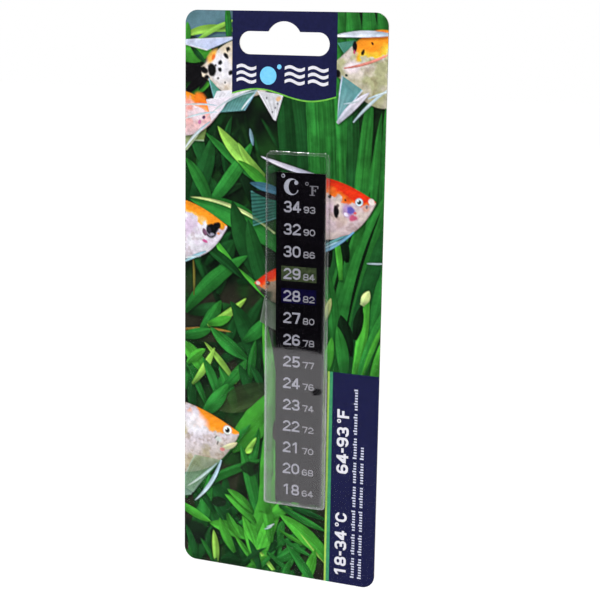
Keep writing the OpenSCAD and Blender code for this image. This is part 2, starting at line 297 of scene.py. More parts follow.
MATERIALS = {
    "card_board": paperboard(),
    "scene_print": deep_water(),
    "header_panel": ink("navy_ink", (22, 24, 60), (26, 28, 68)),
    "header_wave_line": ink("green_ink", (96, 170, 60), (120, 190, 70)),
    "emblem_waves": ink("white_ink", (214, 211, 219), (224, 221, 228)),
    "emblem_bubble": ink("sky_ink", (108, 190, 234), (126, 202, 240)),
    "light_line": ink("lime_ink", (150, 190, 78), (170, 206, 90)),
    "teal_line": ink("teal_ink", (52, 132, 96), (66, 150, 100)),
    "note_line_long": ink("pale_ink", (196, 198, 218), (208, 210, 226)),
    "blister_flange": clear_film("flange_film", 1.06, 0.05),
    # the pocket film carries the painted dark spot in its reflection
    "blister_pocket": clear_film("pocket_film", 1.5, 0.08, (0.02, 0.05), 0.2, 0.03, dark_reflection_spot=True),
    "face_film": clear_film("face_film", 1.12, 0.05),
    "celsius_figures": strip_layer("celsius_ink", (162, 159, 171), (172, 169, 181)),
    "fahrenheit_figures": strip_layer("fahrenheit_ink", (150, 147, 155), (160, 157, 165)),
    "unit_marks": strip_layer("unit_ink", (170, 170, 184), (180, 179, 192), right=(122, 119, 126)),
    "black_mask": strip_layer("mask_ink", (2, 1, 3), (5, 4, 8)),
    "black_backing": strip_layer("black_film", (16, 16, 18), (24, 24, 26)),
    "adhesive_layer": strip_layer("adhesive", (226, 214, 176), (236, 226, 196), 300, 0.35),
    "release_liner": strip_layer("liner_paper", (216, 214, 204), (232, 230, 222), 900, 0.6),
    "crystal_29": strip_layer("crystal_olive", (42, 52, 32), (74, 86, 54), 900),
    "crystal_28": strip_layer("crystal_blue", (4, 2, 40), (9, 4, 54), 900),
}
SAME_AS = {
    "side_panel": "header_panel", "range_lettering": "emblem_waves",
    "note_line_short": "note_line_long",
}
CRYSTAL_DARK = strip_layer("crystal_dark", (2, 1, 3), (5, 4, 8), 900)


def dress_cad_nodes():
    for name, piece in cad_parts.items():
        material = MATERIALS.get(SAME_AS.get(name, name), CRYSTAL_DARK)
        piece.data.materials.clear()
        piece.data.materials.append(material)


dress_cad_nodes()


def new_piece(name, points, faces, material):
    """A mesh piece in the scene, on no body yet."""
    mesh = bpy.data.meshes.new(name)
    mesh.from_pydata(points, [], faces)
    mesh.materials.append(material)
    piece = bpy.data.objects.new(name, mesh)
    bpy.context.scene.collection.objects.link(piece)
    return piece


# ---- the printed picture: a fine grid of coloured points just in front of the ink ----
# Places on the card are in millimetres from its top left corner, y downwards. The grid's
# points are PITCH apart, and the samples of a painted shape about SAMPLE apart.

PITCH = 0.27
SAMPLE = 0.13
SHADOW_DROP = (0.3, 0.8)
LATTICE, SEEDS = 128, 400
PICTURE_DEPTH = INK_FRONT - 0.008 * MM
rng = random.Random(29)


def rgb(red, green, blue):
    return np.array(srgb(red, green, blue)[:3])


def smooth(low, high, value):
    t = np.clip((value - low) / (high - low), 0, 1)
    return t * t * (3 - 2 * t)


def cloud(x, y, size, seed, octaves=3):
    """Soft noise from 0 to 1; size is the width of its largest patches."""
    total, weight = 0.0, 0.0
    for octave in range(octaves):
        lattice = np.random.default_rng(97 * seed + octave).random((LATTICE, LATTICE))
        u, v = x / size * 2 ** octave + 40, y / size * 2 ** octave + 40
        left, top = np.floor(u).astype(int), np.floor(v).astype(int)
        along, down = smooth(0, 1, u - left), smooth(0, 1, v - top)
        left, right = left % LATTICE, (left + 1) % LATTICE
        upper, lower = (
            lattice[row, left] * (1 - along) + lattice[row, right] * along
            for row in (top % LATTICE, (top + 1) % LATTICE))
        total = total + (upper * (1 - down) + lower * down) / 2 ** octave
        weight += 1 / 2 ** octave
    return total / weight


def blend(first, second, share):
    """Colours between first and second; share may be an array."""
    share = np.asarray(share)[..., None]
    return np.asarray(first) * (1 - share) + np.asarray(second) * share


class Canvas:
    """The picture's colours, one for each point of the grid over the card's face."""

    def __init__(self):
        self.columns = round(CARD_W / PITCH) + 1
        self.rows = round(CARD_H / PITCH) + 1
        self.x, self.y = np.meshgrid(
            np.linspace(0, CARD_W, self.columns), np.linspace(0, CARD_H, self.rows))
        self.colours = np.zeros((self.rows, self.columns, 3))

    def blur(self):
        for channel in range(3):
            self.colours[..., channel] = soften(self.colours[..., channel])

    def crisp(self, amount):
        """Strengthens the edges, as a printed photograph has them, over a fine unevenness."""
        for channel in range(3):
            plane = self.colours[..., channel]
            edges = amount * (plane - soften(plane, 3))
            self.colours[..., channel] = np.clip(plane + edges, 0.6 * plane, 1)
        self.colours *= 1 + 0.3 * (cloud(self.x, self.y, 1.2, 71, 2)[..., None] - 0.5)

    def gather(self, grid, values, shift=(0, 0)):
        """Spreads a shape's samples, by the area that each stands for, over the points round
        them. Gives a window of the canvas, its coverage, and the mean values there."""
        along, across = np.gradient(grid, axis=0), np.gradient(grid, axis=1)
        area = np.abs(along[..., 0] * across[..., 1] - along[..., 1] * across[..., 0]).ravel()
        x = (grid[..., 0].ravel() + shift[0]) * (self.columns - 1) / CARD_W
        y = (grid[..., 1].ravel() + shift[1]) * (self.rows - 1) / CARD_H
        near = (x > 0) & (x < self.columns - 1) & (y > 0) & (y < self.rows - 1) & (area > 0)
        if not near.any():
            return None
        x, y, area = x[near], y[near], area[near] / PITCH ** 2
        values = values.reshape(-1, 4)[near]
        left, top = int(x.min()), int(y.min())
        width, height = int(x.max()) - left + 2, int(y.max()) - top + 2
        column, row = np.floor(x).astype(int), np.floor(y).astype(int)
        over, down = x - column, y - row
        cover, sums = np.zeros(width * height), np.zeros((width * height, 4))
        for step_x, step_y, weight in (
                (0, 0, (1 - over) * (1 - down)), (1, 0, over * (1 - down)),
                (0, 1, (1 - over) * down), (1, 1, over * down)):
            spot = (row + step_y - top) * width + column + step_x - left
            share = weight * area
            cover += np.bincount(spot, share, width * height)
            for channel in range(4):
                sums[:, channel] += np.bincount(spot, share * values[:, channel], width * height)
        window = (slice(top, top + height), slice(left, left + width))
        means = sums / np.maximum(cover, 1e-9)[:, None]
        return window, cover.reshape(height, width), means.reshape(height, width, 4)

    def paint(self, grid, colours, strength=1.0, shade=0.45):
        """Lays a shape on the canvas, over a soft shadow of it. strength, a number or one for
        each sample, is how much it hides what is there."""
        colours = np.clip(colours, 0, 1)
        strength = np.broadcast_to(strength, colours.shape[:2])[..., None]
        values = np.concatenate([colours, strength], axis=-1)
        shadow = self.gather(grid, values, SHADOW_DROP) if shade else None
        if shadow:
            window, cover = shadow[:2]
            cover = soften(np.clip(cover, 0, 1), 3)
            self.colours[window] *= 1 - shade * cover[..., None]
        shape = self.gather(grid, values)
        if shape:
            window, cover, means = shape
            share = (np.clip(1.15 * cover, 0, 1) * means[..., 3])[..., None]
            self.colours[window] = self.colours[window] * (1 - share) + means[..., :3] * share


def soften(values, times=1):
    """Each value mixed with its neighbours, so many times over."""
    for _ in range(times):
        padded = np.pad(values, 1)
        across = (padded[:, :-2] + 2 * padded[:, 1:-1] + padded[:, 2:]) / 4
        values = (across[:-2] + 2 * across[1:-1] + across[2:]) / 4
    return values


canvas = Canvas()

DARK, DIM, MID = rgb(14, 42, 20), rgb(20, 70, 30), rgb(33, 104, 40)
BRIGHT, LIME, PALE = rgb(60, 144, 46), rgb(128, 182, 76), rgb(186, 208, 140)


def leaf(root, tip, width, bow=0.0, tone=MID, light=1.25, blunt=0.0, foot=0.55, shade=0.5,
         ribs=0.3, strength=1.0):
    """A blade from root to tip; bow bends it sideways by that share of its length. light is
    how much brighter its lit half is, foot how dark its root is, and ribs how strong its veins
    are. A blunt blade keeps its width."""
    root, tip = np.array(root, float), np.array(tip, float)
    line = tip - root
    length = np.linalg.norm(line)
    middle = (root + tip) / 2 + np.array([-line[1], line[0]]) * bow
    t = np.linspace(0, 1, max(12, int(length / SAMPLE)))[:, None, None]
    c = np.linspace(-1, 1, max(7, int(width / SAMPLE)))[None, :, None]
    spine = (1 - t) ** 2 * root + 2 * t * (1 - t) * middle + t * t * tip
    tangent = 2 * (1 - t) * (middle - root) + 2 * t * (tip - middle)
    normal = np.concatenate([-tangent[..., 1:], tangent[..., :1]], axis=-1)
    normal = normal / np.linalg.norm(normal, axis=-1, keepdims=True)
    seed = rng.randrange(SEEDS)
    taper = np.sin(math.pi * np.minimum(1, 0.12 + 0.88 * t) ** 1.15) ** 0.75
    half = 0.5 * width * np.maximum(np.maximum(0.03, taper), blunt * (1 - t ** 8))
    t, c, half = t[..., 0], c[..., 0], half[..., 0]
    half = half * (1 + 0.12 * (cloud(t * length, 0 * t, 5, seed, 2) - 0.5))
    grid = spine + normal * (half * c)[..., None]
    across, along = half * c + 3 * seed, t * length
    shady = smooth(-0.6, 0.6, c + 0.6 * cloud(along, 0 * c, 9, seed, 2) - 0.3)
    lit = blend(np.full(3, light), np.full(3, 0.78), shady)
    streaks = 1 + ribs * 2.4 * (cloud(across / 0.05, along / 1.6, 9, seed + 1, 2) - 0.5)
    patches = 1 + 0.8 * (cloud(across, along, 4.5, seed + 2, 4) - 0.5)
    crease = 1 - 0.18 * np.exp(-(half * c / 0.2) ** 2) * (width > 2)
    rim = 1 - 0.12 * smooth(0.78, 1, np.abs(c)) + 0 * t
    dark_root = foot + (1 - foot) * smooth(0, 0.45, t)
    glow = (streaks * patches * crease * rim * dark_root)[..., None] * lit
    warmth = 0.8 * cloud(across, along, 7, seed + 3, 2) * smooth(0, 1, t)
    warm = blend(tone, tone * np.array([1.4, 1.1, 0.85]), warmth)
    canvas.paint(grid, warm * glow, strength, shade if width > 1 else 0)


def thicket(corner, far_corner, count, length, width, heading, fan, tones, strength=1.0):
    """Random blades whose roots fill a box; heading and fan are degrees from straight up."""
    for _ in range(count):
        root = [rng.uniform(a, b) for a, b in zip(corner, far_corner)]
        turn = math.radians(heading + rng.uniform(-fan, fan))
        reach = length * rng.uniform(0.65, 1.3)
        tip = (root[0] + reach * math.sin(turn), root[1] - reach * math.cos(turn))
        leaf(root, tip, width * rng.uniform(0.6, 1.3), rng.uniform(-0.16, 0.16),
             rng.choice(tones) * rng.uniform(0.8, 1.15), foot=rng.uniform(0.3, 0.6),
             strength=strength)


def blot(centre, radius, colour, tall=1.0, turn=0.0, ragged=0.0, strength=1.0, edge=0.25):
    """A round or oval mark; ragged makes its outline uneven, and edge is its soft share."""
    ring, angle = np.meshgrid(
        np.linspace(0.01, 1, max(6, int(1.5 * radius / SAMPLE))),
        np.linspace(0, 2 * math.pi, max(48, int(8 * radius * max(1, tall) / SAMPLE))),
        indexing="ij")
    seed = rng.randrange(SEEDS)
    cos, sin = np.cos(angle), np.sin(angle)
    rim = 1 + 2.2 * ragged * (cloud(2 * cos + 9, 2 * sin + 9, 2.6, seed) - 0.5)
    x, y = radius * ring * rim * cos, radius * tall * ring * rim * sin
    turn = math.radians(turn)
    grid = np.stack([
        centre[0] + x * math.cos(turn) - y * math.sin(turn),
        centre[1] + x * math.sin(turn) + y * math.cos(turn)], axis=-1)
    tint = 1 + 0.5 * (cloud(grid[..., 0], grid[..., 1], 1.4, seed) - 0.5)
    canvas.paint(grid, colour * tint[..., None], strength * smooth(1, 1 - edge, ring), 0)


def fin(root, root_end, tip, colour, edge, bow=0.0, tip_end=None, strength=0.9, rays=9, comb=0.14):
    """A fin fanned from the line root to root_end out to its tip, pale along its edge. comb is
    how strong its rays are."""
    root, root_end, tip = (np.array(p, float) for p in (root, root_end, tip))
    tip_end = tip if tip_end is None else np.array(tip_end, float)
    sides = root_end - root, tip - root, tip_end - root_end
    count = max(20, int(max(np.linalg.norm(side) for side in sides) / SAMPLE))
    t, u = np.meshgrid(np.linspace(0, 1, count), np.linspace(0, 1, count), indexing="ij")
    start = root + (root_end - root) * t[..., None]
    end = tip + (tip_end - tip) * t[..., None]
    line = end - start
    side = np.stack([-line[..., 1], line[..., 0]], axis=-1)
    grid = start + line * u[..., None] + side * (bow * 4 * u * (1 - u) * (1 - 0.5 * t))[..., None]
    border = np.maximum(np.maximum(smooth(0.1, 0, t), smooth(0.93, 1, t)), 0.3 * u)
    stripes = 1 + comb * np.cos(2 * math.pi * rays * t) * smooth(0.05, 0.4, u)
    patches = 1 + 0.5 * (cloud(grid[..., 0], grid[..., 1], 2.6, rng.randrange(SEEDS)) - 0.5)
    canvas.paint(grid, blend(colour, edge, border) * (stripes * patches)[..., None], strength, 0.3)


def ray(start, end, width=0.55, bow=0.1, colour=rgb(186, 206, 218)):
    """A long thin ray of a fin, pale blue-white."""
    leaf(start, end, width, bow, colour, light=1.05, blunt=0.4, foot=0.85, ribs=0.05)


FISH_SAG = 0.1


def fish(snout, tail, depth, cap, flank, belly, cap_depth=0.35, cap_from=0.0, cap_low=None,
         dip=0.5):
    """A deep-bodied fish seen from the side, a little deeper below its axis. cap is the colour
    of its back, which reaches down by cap_depth of its height, and further by dip at its head,
    from the share cap_from of its length; cap_low is the cap's lower shade."""
    snout, tail = np.array(snout, float), np.array(tail, float)
    axis = snout - tail
    length = np.linalg.norm(axis)
    up = np.array([axis[1], -axis[0]]) / length
    if up[1] > 0:
        up = -up
    s, t = np.meshgrid(
        np.linspace(0, 1, int(length / SAMPLE)), np.linspace(1, -1, int(depth / SAMPLE)),
        indexing="ij")
    widest = 0.42
    back, front = np.clip(s / widest, 0, 1), np.clip((s - widest) / (1 - widest), 0, 1)
    rise = 0.17 + 0.83 * np.sin(math.pi / 2 * back) ** 1.25
    upper = (0.5 - FISH_SAG / 2) * (0.96 * (1 - front ** 1.65) + 0.04)
    lower = (0.5 + FISH_SAG / 2) * (0.96 * (1 - front ** 3) + 0.04)
    lift = depth * rise * np.where(t > 0, upper, lower) * t
    grid = tail + axis * s[..., None] + up * lift[..., None]
    x, y = grid[..., 0], grid[..., 1]
    seed = rng.randrange(SEEDS)
    body = blend(flank, belly, smooth(0.38, 0.7, cloud(x, y, 4.4, seed, 4)))
    body = blend(body, belly, 0.6 * smooth(0.1, -0.9, t))
    specks = 0.45 * smooth(0.55, 0.75, cloud(x, y, 1.5, seed + 6))
    body = blend(body, 0.5 * belly * np.array([1.2, 0.95, 0.9]), specks)
    fine = 1 + 0.5 * (cloud(x, y, 1.3, seed + 1) - 0.5)
    border = t + 0.7 * (cloud(x, y, 2.6, seed + 2, 4) - 0.5) + dip * smooth(0.55, 0.9, s)
    on_cap = smooth(1 - 2.0 * cap_depth, 1 - 1.7 * cap_depth, border)
    on_cap = on_cap * smooth(-0.05, 0.05, s - cap_from + 0.4 * (cloud(x, y, 4, seed + 4) - 0.5))
    low_cap = cap if cap_low is None else cap_low
    in_cap = smooth(1 - 1.9 * cap_depth, 1 - 0.8 * cap_depth, border)
    streaks = 1 + 0.35 * (cloud(x / 0.7, y / 0.3 + x, 2.6, seed + 5) - 0.5)
    shade = blend(body * fine[..., None], blend(low_cap, cap, in_cap) * streaks[..., None], on_cap)
    rounding = 1 - 0.22 * smooth(0.75, 1, np.abs(t)) - 0.1 * smooth(0, 1, -t)
    canvas.paint(grid, shade * rounding[..., None], 1.0, 0.5)


def eye(centre, radius, ring):
    blot(centre, 1.12 * radius, ring * 0.45)
    blot(centre, radius, ring)
    blot(centre, 0.62 * radius, rgb(10, 12, 16))
    blot((centre[0] - 0.3 * radius, centre[1] - 0.3 * radius), 0.22 * radius, rgb(235, 240, 245))


ORANGE, RED, ROSE = rgb(238, 142, 32), rgb(214, 48, 16), rgb(226, 150, 140)
WHITE, CREAM = rgb(222, 218, 226), rgb(214, 198, 176)
BLACK, SKY, GLASS = rgb(14, 14, 18), rgb(150, 196, 222), rgb(72, 132, 116)


def paint_ground():
    """Deep water: near-black green, dim and blurred, bluer at the card's top left."""
    x, y = canvas.x, canvas.y
    slope = 0.5 * x + 0.25 * y
    streaks = cloud(slope / 1.2, (y - 0.4 * x) / 5, 2.6, 11, 4)
    glow = cloud(x, y, 17, 12, 2)
    dim = blend(rgb(8, 18, 11), rgb(26, 66, 24), smooth(0.3, 0.75, 0.6 * streaks + 0.4 * glow))
    brown = smooth(84, 100, y) * smooth(0.4, 0.62, cloud(x, y, 9, 14))
    dim = blend(dim, blend(rgb(24, 23, 19), rgb(48, 42, 34), streaks), 0.85 * brown)
    corner = smooth(20, 16, x) * smooth(12, 8, y)
    blue = blend(rgb(66, 100, 104), rgb(96, 128, 142), cloud(x, y, 7, 13))
    canvas.colours[:] = blend(dim, blue, corner)


def paint_far_plants():
    everywhere = ((0, 30), (CARD_W, CARD_H + 12))
    thicket(*everywhere, 46, 26, 4.6, 0, 50, (DARK * 0.7, DARK, DIM * 0.8), 0.6)
    for _ in range(2):
        canvas.blur()
    thicket((18, 46), (48, 64), 26, 12, 1.3, -28, 12, (DARK, DARK * 0.6, DIM), 0.8)
    thicket((0, 70), (34, 134), 22, 20, 3.6, 30, 60, (DARK, DIM, DIM), 0.9)
    thicket((54, 60), (74, 130), 16, 30, 4.4, 14, 12, (DARK, DIM), 0.9)
    canvas.blur()


def paint_top_plants():
    leaf((19, 6.6), (-2, 9.4), 2.6, 0.17, LIME * 0.85, ribs=0.1)
    leaf((3.6, 11), (19, 3), 1.5, -0.1, LIME * 1.05, blunt=0.7, ribs=0.1)
    leaf((16.4, 12), (15.4, -3), 2.2, 0.02, MID, blunt=0.8)
    leaf((0.4, 12), (0.8, 4), 2.4, 0.02, BRIGHT, blunt=0.5)
    leaf((-3, 15), (10, 13.4), 6.4, 0.03, BRIGHT, light=1.1, blunt=0.6, ribs=0.08)
    leaf((2, 12), (8, 18), 1.6, 0, DIM)
    leaf((2, 28), (10, 22.4), 3.6, 0.05, BRIGHT, ribs=0.1)
    for x, width, tone in (
            (56, 5, MID), (60.5, 5.5, MID * 1.1), (66, 5.4, MID), (71, 5, MID * 0.9)):
        leaf((x + 2, 22), (x - 1, -6), width, 0.03, tone, blunt=0.9, foot=0.8)
    leaf((57, 27), (56, 13), 4, 0.03, MID, blunt=0.7)
    leaf((46, 74), (37, 8), 9, 0.03, DIM * 1.1, blunt=0.9, foot=0.6, ribs=0.2)
    leaf((40, 74), (34, 8), 6, 0.03, DIM * 0.9, blunt=0.9, foot=0.6, ribs=0.2)
    for x, width, tone in ((47.2, 6.6, MID * 1.15), (52.4, 4.6, MID * 0.9), (56.4, 5, MID * 1.1)):
        leaf((x + 3, 78), (x - 2, 4), width, 0.03, tone, blunt=1, foot=0.6, ribs=0.4)
    leaf((62, 80), (61, 24), 5, 0.02, DIM, blunt=0.9, foot=0.7, ribs=0.35)
    leaf((73, 84), (75, 20), 7, 0.02, MID * 0.8, blunt=0.9, ribs=0.35)
    leaf((64.5, 88), (67.8, 24), 5, -0.03, MID * 1.05, blunt=0.9, foot=0.7, ribs=0.4)
    leaf((67.5, 90), (71.4, 32), 3.4, -0.02, MID, blunt=0.8, foot=0.7, ribs=0.35)
    thicket((2, 54), (30, 68), 12, 17, 3.6, 20, 50, (DIM, DARK, DIM))
    leaf((2, 66), (10.5, 42), 6, 0.08, DIM * 1.15, ribs=0.1)
    leaf((34, 60), (7.6, 41), 3.4, -0.04, MID * 1.1)
    leaf((9, 66), (25.6, 43.4), 4.8, 0.05, MID * 1.2, light=1.5)
    leaf((30, 55), (12.4, 38.8), 4.4, -0.1, LIME, light=1.35, ribs=0.1)
    leaf((29, 56), (20, 44), 2.6, -0.06, LIME * 0.85, ribs=0.1)
    leaf((33, 60), (20, 50), 3.4, 0.05, BRIGHT * 0.8)
    leaf((10, 67), (0, 50), 4.4, 0.1, MID)
    leaf((25.6, 44.6), (24.4, 39), 1.1, 0, SKY * 0.6, ribs=0.03)


def paint_middle_plants():
    leaf((37, 80), (2, 64.4), 8.4, 0.15, MID * 1.15, light=1.35, ribs=0.12)
    leaf((34, 74), (2, 63.6), 1.1, 0.16, PALE * 0.8, blunt=0.5, shade=0.2)
    leaf((30, 92), (18, 64), 7.4, -0.06, DIM * 0.85, ribs=0.1)
    leaf((33, 98), (24, 70), 6.4, -0.05, DIM, ribs=0.1)
    leaf((21, 89), (11, 77), 2.4, -0.06, BRIGHT * 1.25, blunt=0.7, ribs=0.1)
    leaf((34, 99), (20, 87), 1.6, 0.04, BRIGHT * 1.1, blunt=0.8)
    leaf((0, 104), (24, 82.5), 5.4, -0.1, MID * 1.1, ribs=0.1)
    leaf((22, 90), (6, 79.5), 3.4, 0.06, DIM)
    leaf((3.4, 98), (3, 84), 0.7, 0.05, rgb(96, 92, 40))
    leaf((-1, 110.6), (18, 109.8), 0.9, -0.07, rgb(136, 108, 50), light=1.1, blunt=0.8)
    leaf((6, 111), (14, 99), 4.6, 0.06, MID)
    leaf((9, 108.4), (23.6, 97.4), 2.6, 0.08, LIME * 0.9, light=1.4)
    leaf((9, 107.6), (18, 104.4), 3, 0.08, BRIGHT)
    leaf((-2, 113), (10.4, 109.6), 3.6, 0.06, MID)
    leaf((24, 118.6), (10, 108.8), 4.4, -0.08, MID * 1.2)
    leaf((28, 122), (17.6, 99), 6.6, 0.14, DIM * 0.9, ribs=0.1)
    leaf((23, 112.4), (33, 103), 4.6, 0.08, MID * 1.15)
    thicket((-2, 120), (32, 142), 16, 15, 3.2, 0, 60, (MID, DIM, MID))
    leaf((8, 126), (-2, 114.6), 5, 0.12, BRIGHT)
    leaf((1, 122.6), (8, 117), 3, -0.1, BRIGHT * 1.15)
    leaf((20, 128), (7.6, 114.4), 2, 0.05, LIME * 0.9)
    leaf((3, 130), (11.6, 116), 2.4, 0.08, LIME)
    leaf((13, 134), (7, 120), 3.2, 0.1, MID * 1.2)
    leaf((15, 130), (24, 119), 3.8, 0.1, MID)
    leaf((26, 132), (21, 121), 3.6, 0.05, DIM)
    leaf((34.6, 140), (30.2, 103), 4, 0.02, BRIGHT, blunt=0.8, ribs=0.1)


def paint_right_plants():
    for x, lean, width, tone in (
            (57, 5, 6, DIM), (60, 8, 7, MID * 0.85), (65, 9, 8, MID * 0.9), (71, 9, 8, DIM),
            (76, 9, 7, MID * 0.9)):
        leaf((x - lean, 124), (x + lean, 58), width, -0.05, tone, blunt=0.7, ribs=0.2)
    for x in (60, 67):
        leaf((x - 6, 104), (x + 5, 64), 1, -0.06, DARK * 0.5, blunt=0.6)
    leaf((54, 84), (53.4, 72), 3, 0, DARK * 0.5, shade=0)
    leaf((60.6, 82), (58.6, 73), 3, 0, DARK * 0.5, shade=0)
    leaf((58.4, 88), (55.8, 71.6), 2, 0.04, BRIGHT * 1.2, blunt=0.7)
    leaf((56.6, 112), (53, 84), 4, 0.04, MID)
    leaf((62, 114), (58.6, 100), 5.4, 0.02, DARK * 0.6, blunt=0.5, shade=0)
    leaf((60.4, 122), (57.4, 104), 4.4, 0.06, MID * 1.15)
    leaf((63.4, 124), (68.4, 91.4), 3.6, 0.03, BRIGHT * 0.9, light=1.6, blunt=0.6)
    leaf((66.2, 96), (68.6, 91), 2.8, 0, PALE, blunt=0.6, shade=0.2, ribs=0.05)
    leaf((65, 126), (76, 94), 3.8, -0.05, MID * 1.2, light=1.5, blunt=0.6)
    leaf((67, 120), (75, 100), 1.6, -0.05, BRIGHT * 1.1, blunt=0.6)
    leaf((70, 124), (76, 104), 4, 0, BRIGHT * 0.8)
    leaf((64, 108), (66, 96), 3.4, 0, DARK * 0.5, blunt=0.4, shade=0)
    leaf((52.4, 103), (55, 94.6), 2.2, 0, PALE * 0.7)
    leaf((53, 122), (55.6, 108), 3.4, 0.04, BRIGHT * 0.9)
    ray((67.6, 81.8), (74, 81.4), 0.4, 0.02)


def paint_low_plants():
    leaf((34, 128), (12, 138), 9, 0, rgb(44, 62, 34), foot=0.8, shade=0, strength=0.8)
    leaf((7, 141), (17, 128.4), 5, 0.06, MID * 1.2)
    thicket((-2, 178), (40, 206), 26, 22, 4.6, 0, 66, (DIM, MID, DIM))
    leaf((18, 152), (38, 127), 10, 0.06, BRIGHT, light=1.15, blunt=0.2, ribs=0.08)
    leaf((0, 172), (26, 142), 4.4, -0.05, MID * 1.2, blunt=0.5)
    leaf((30, 160), (33, 143), 5, 0.05, DIM)
    leaf((24, 163), (29, 143), 3.4, 0.03, MID)
    leaf((23.4, 153), (28, 146.6), 1.6, 0.05, LIME * 1.1)
    leaf((26.5, 150.6), (24, 152.8), 1.8, 0.05, LIME)
    leaf((3, 169), (31, 154), 3.2, -0.04, MID)
    leaf((30, 178), (22, 150), 4.6, 0.03, MID * 1.1)
    leaf((38, 164), (34, 146), 5.6, 0.05, BRIGHT * 0.9, blunt=0.6)
    leaf((4, 190), (10, 162), 5, 0.06, MID * 1.15)
    leaf((12, 176), (2, 165), 2.6, 0.05, DIM)
    for x, y in ((25.6, 158.4), (14, 172), (13, 184), (5, 187), (42, 150), (23, 186), (45, 193)):
        blot((x, y), 3.2, rgb(16, 22, 16), 0.8, rng.uniform(-40, 40), 0.5, 0.85)


def paint_low_leaves():
    blot((4, 185), 6, rgb(12, 26, 16), 0.9, 0, 0.4, 0.95, 0.4)
    leaf((26, 186), (37, 156), 6, 0.02, BRIGHT * 1.05, light=1.2, blunt=0.6, ribs=0.1)
    leaf((28, 178), (16, 169), 3.4, 0.1, BRIGHT)
    leaf((27, 174), (17, 167), 3, 0.1, BRIGHT * 0.9)
    leaf((26, 184), (10, 180.6), 5, 0.12, BRIGHT)
    leaf((-3, 174), (10.6, 180), 3, 0.06, BRIGHT * 0.9)
    leaf((12.6, 196), (11.6, 183), 2.6, 0.06, LIME * 0.85)
    leaf((30, 196), (23, 176), 5.4, 0.1, BRIGHT)
    leaf((20, 190), (14, 178), 3.4, -0.08, BRIGHT * 0.95)
    leaf((17, 176), (22, 184), 3.0, 0.08, BRIGHT * 0.85)
    leaf((27, 198), (38, 168), 5.6, -0.05, BRIGHT * 1.15, light=1.35)
    leaf((31, 176), (46, 166), 2.4, 0.1, BRIGHT * 0.9)
    for start, end, width, tone in (
            ((37, 170), (55, 177), 2.4, MID), ((37, 168), (56, 173), 2.0, DIM),
            ((36, 186), (47, 176.4), 1.5, MID), ((38, 182), (50, 187), 1.6, MID * 1.1),
            ((37, 179), (50, 184), 1.2, BRIGHT * 0.8)):
        leaf(start, end, width, 0.04, tone)
    leaf((58, 189), (37.4, 173.4), 5.6, 0.07, BRIGHT * 1.1, light=1.2, ribs=0.12)
    leaf((54.6, 188.6), (45, 179), 0.7, 0, LIME, shade=0)
    leaf((46, 199), (51, 184), 3.6, 0.06, BRIGHT * 0.95)
    leaf((52, 199), (40, 184), 3.2, 0.06, MID * 1.1)
    leaf((38, 197), (29, 187), 1.5, -0.04, LIME * 1.05)
    leaf((24, 196), (33, 189), 2.6, 0.06, BRIGHT)
    leaf((36, 197), (43, 189), 2.2, 0.06, MID * 1.2)
    thicket((0, 194), (54, 202), 12, 12, 2.2, 0, 60, (MID, BRIGHT * 0.9, DIM))
    leaf((34, 184), (30, 166), 4, 0.1, BRIGHT * 0.9)
    for x, y in ((32.4, 178.6), (31.6, 179.6)):
        ray((x, y), (x + 3, y - 1.6), 0.35, 0.1)


def paint_under_pocket():
    """The leaves that run on under the pocket's left edge, beside the strip."""
    leaf((31, 173), (33, 140), 4.6, 0, BRIGHT * 0.95, blunt=0.9, foot=0.9, ribs=0.15,
         strength=0.9)
    leaf((32, 150), (33.4, 118), 4, 0.02, BRIGHT * 0.8, blunt=0.7, foot=0.9, ribs=0.15,
         strength=0.85)


